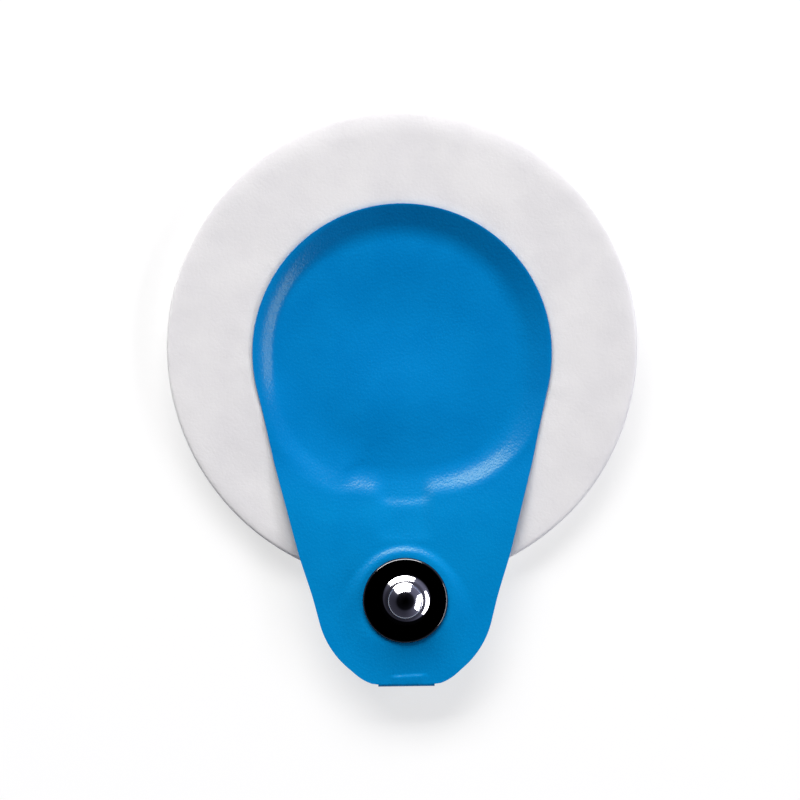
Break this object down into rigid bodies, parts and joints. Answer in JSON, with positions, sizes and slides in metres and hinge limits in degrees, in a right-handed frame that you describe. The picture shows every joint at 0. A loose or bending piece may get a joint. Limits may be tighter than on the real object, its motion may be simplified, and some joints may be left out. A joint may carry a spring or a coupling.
{
  "type": "ecg electrode",
  "caption": "Disposable monitoring electrode: a round foam pad under a dished teardrop cover film whose tab carries a snap stud beside the pad, with a gel well at its centre.",
  "frame": {"origin": "centre of the foam pad on its skin face", "axes": "+Z away from the skin along the stud, the tab along -Y"},
  "size_m": [0.0555, 0.0675, 0.0076],
  "materials": {
    "white_foam": "white closed-cell foam with a rolled edge",
    "blue_film": "fine-grained satin film",
    "silver_foil": "dull silver coat",
    "gel_sponge": "wet open-cell sponge",
    "snap_metal": "polished, dark on the flange",
    "eyelet_metal": "plated"
  },
  "bodies": {
    "root": {"foam_pad": "white_foam", "cover_film": "blue_film", "sensor_strip": "silver_foil", "gel_sponge": "gel_sponge", "snap_stud": "snap_metal", "snap_eyelet": "eyelet_metal"}
  },
  "joints": []
}
